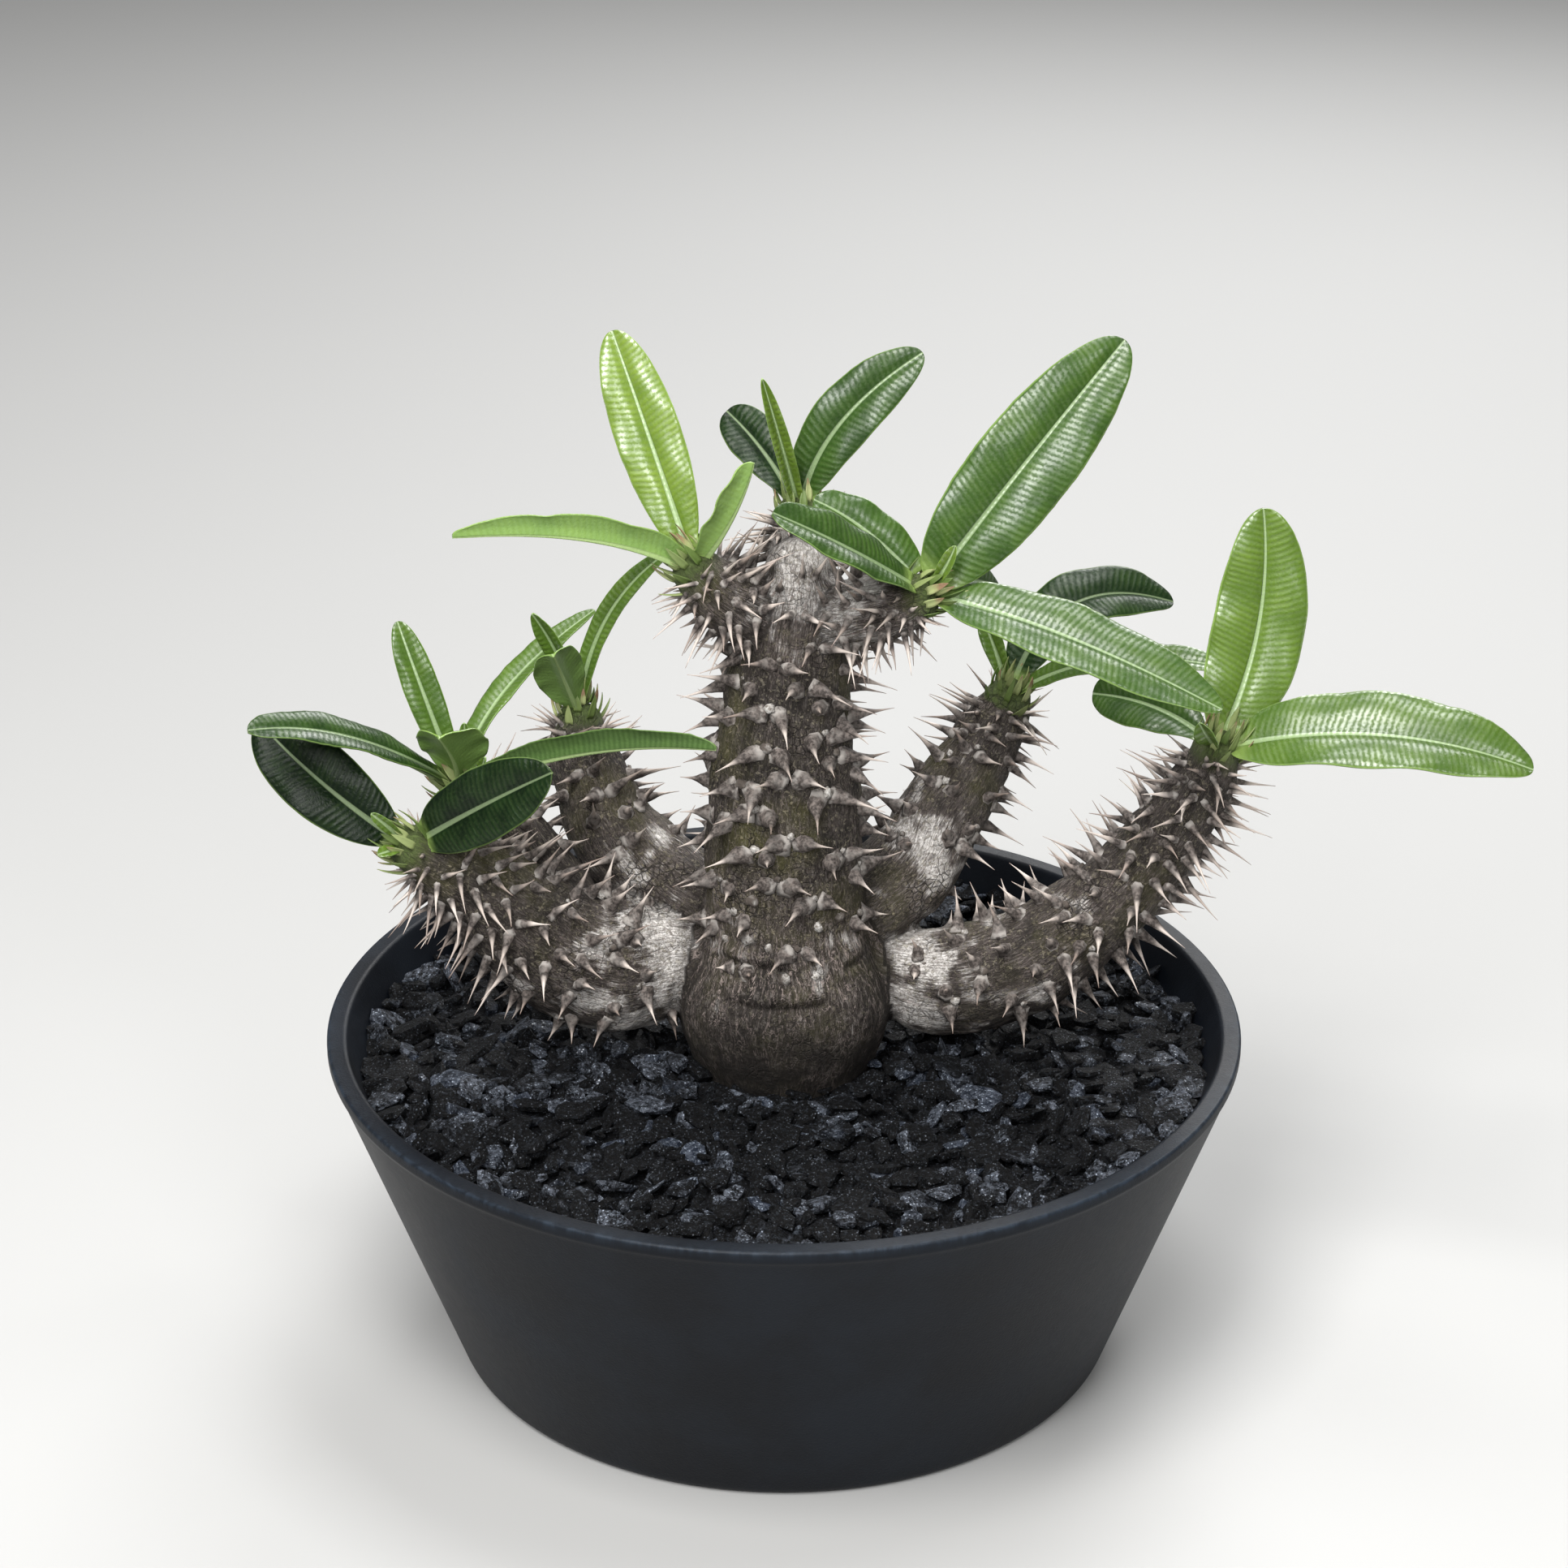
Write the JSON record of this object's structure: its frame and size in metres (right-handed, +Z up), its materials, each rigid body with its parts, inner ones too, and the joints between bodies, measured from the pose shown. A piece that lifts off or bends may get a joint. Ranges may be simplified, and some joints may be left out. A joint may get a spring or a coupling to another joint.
{
  "type": "potted pachypodium makayense",
  "caption": "Spiny caudex succulent with a swollen trunk, low side branches and leaf rosettes, in a shallow round pot topped with dark gravel.",
  "frame": {"origin": "centre of the underside of the pot", "axes": "+Z up, +X to the right in the picture, -Y towards the picture's camera"},
  "size_m": [0.241, 0.18, 0.2053],
  "materials": {
    "pot": "satin blue-black, a little lighter on the lip",
    "gravel": "broken black slate-like chips with blue-grey sparkling faces",
    "stem": "grey-brown bark with fine wrinkles along the limbs, silvery at the crown and branch feet, pale spine tips",
    "leaf": "glossy waxy green with a pale midrib and fine side veins, paler and matt below"
  },
  "bodies": {
    "root": {"pot": "pot", "gravel": "gravel", "stem": "stem", "leaf_crown_left_tall": "leaf", "leaf_crown_left_arched": "leaf", "leaf_crown_left_young": "leaf", "leaf_crown_back_spear": "leaf", "leaf_crown_back_light": "leaf", "leaf_crown_back_dark": "leaf", "leaf_crown_right_tall": "leaf", "leaf_crown_right_low": "leaf", "leaf_crown_right_upper": "leaf", "leaf_crown_right_front": "leaf", "leaf_crown_right_bud": "leaf", "leaf_crown_right_shaded": "leaf", "leaf_back_right_high": "leaf", "leaf_back_right_bud": "leaf", "leaf_back_right_long": "leaf", "leaf_right_tall": "leaf", "leaf_right_long": "leaf", "leaf_right_shaded": "leaf", "leaf_right_bud": "leaf", "leaf_left_tall": "leaf", "leaf_left_arched": "leaf", "leaf_left_fold": "leaf", "leaf_left_far": "leaf", "leaf_left_near": "leaf", "leaf_left_bud": "leaf", "leaf_left_small": "leaf", "leaf_front_left_far": "leaf", "leaf_front_left_near": "leaf", "leaf_front_left_bud": "leaf", "leaf_front_left_bract": "leaf", "leaf_back_left_small": "leaf", "leaf_back_left_wide": "leaf", "leaf_back_left_long": "leaf"}
  },
  "joints": []
}
